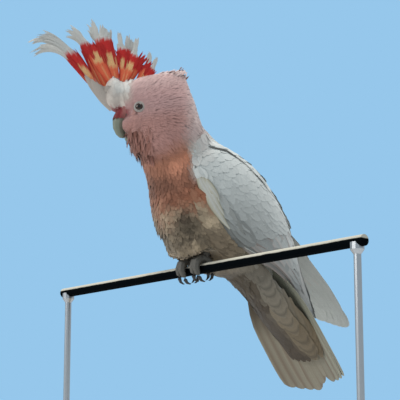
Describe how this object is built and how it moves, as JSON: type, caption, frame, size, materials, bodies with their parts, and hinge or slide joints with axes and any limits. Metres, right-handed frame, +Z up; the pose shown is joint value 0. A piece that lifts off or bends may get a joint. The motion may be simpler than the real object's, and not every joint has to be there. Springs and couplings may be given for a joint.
{
  "type": "pink cockatoo, still life-size model on a wire perch",
  "caption": "Life-size still model of a pink cockatoo with raised crest, gripping a short length of wire held level by a flat stand.",
  "frame": {"origin": "centre of the stand's underside, on the floor", "axes": "+Z up; the perch wire runs along X; the bird faces -Y, turned 2 degrees to its own right, with its head turned 33 degrees further to its right"},
  "size_m": [0.47, 0.3515, 0.4735],
  "materials": {
    "feather_pink": "soft matte feathers, dusty pink",
    "feather_salmon": "soft matte feathers, salmon to buff grey",
    "feather_white": "smooth white feathers",
    "feather_buff": "soft buff-grey feathers",
    "feather_crest": "long feathers banded red, yellow and white",
    "bill_horn": "pale horn, satin",
    "eye_gloss": "dark glossy eye",
    "foot_skin": "scaly dark grey skin",
    "claw_horn": "dark horn, satin",
    "wire_black": "black sheathed wire",
    "stand_wood": "pale satin wood",
    "stand_steel": "brushed"
  },
  "bodies": {
    "root": {"head": "feather_pink", "neck": "feather_pink", "trunk": "feather_salmon", "left_wing": "feather_white", "right_wing": "feather_white", "tail": "feather_white", "undertail_coverts": "feather_buff", "crest": "feather_crest", "left_thigh": "feather_buff", "right_thigh": "feather_buff", "upper_bill": "bill_horn", "lower_bill": "bill_horn", "left_eye": "eye_gloss", "right_eye": "eye_gloss", "left_foot": "foot_skin", "right_foot": "foot_skin", "left_claw_inner_front": "claw_horn", "left_claw_outer_front": "claw_horn", "left_claw_inner_back": "claw_horn", "left_claw_outer_back": "claw_horn", "right_claw_inner_front": "claw_horn", "right_claw_outer_front": "claw_horn", "right_claw_inner_back": "claw_horn", "right_claw_outer_back": "claw_horn", "perch_wire": "wire_black", "stand_base": "stand_wood", "stand_rod_left": "stand_steel", "stand_rod_right": "stand_steel"}
  },
  "joints": []
}
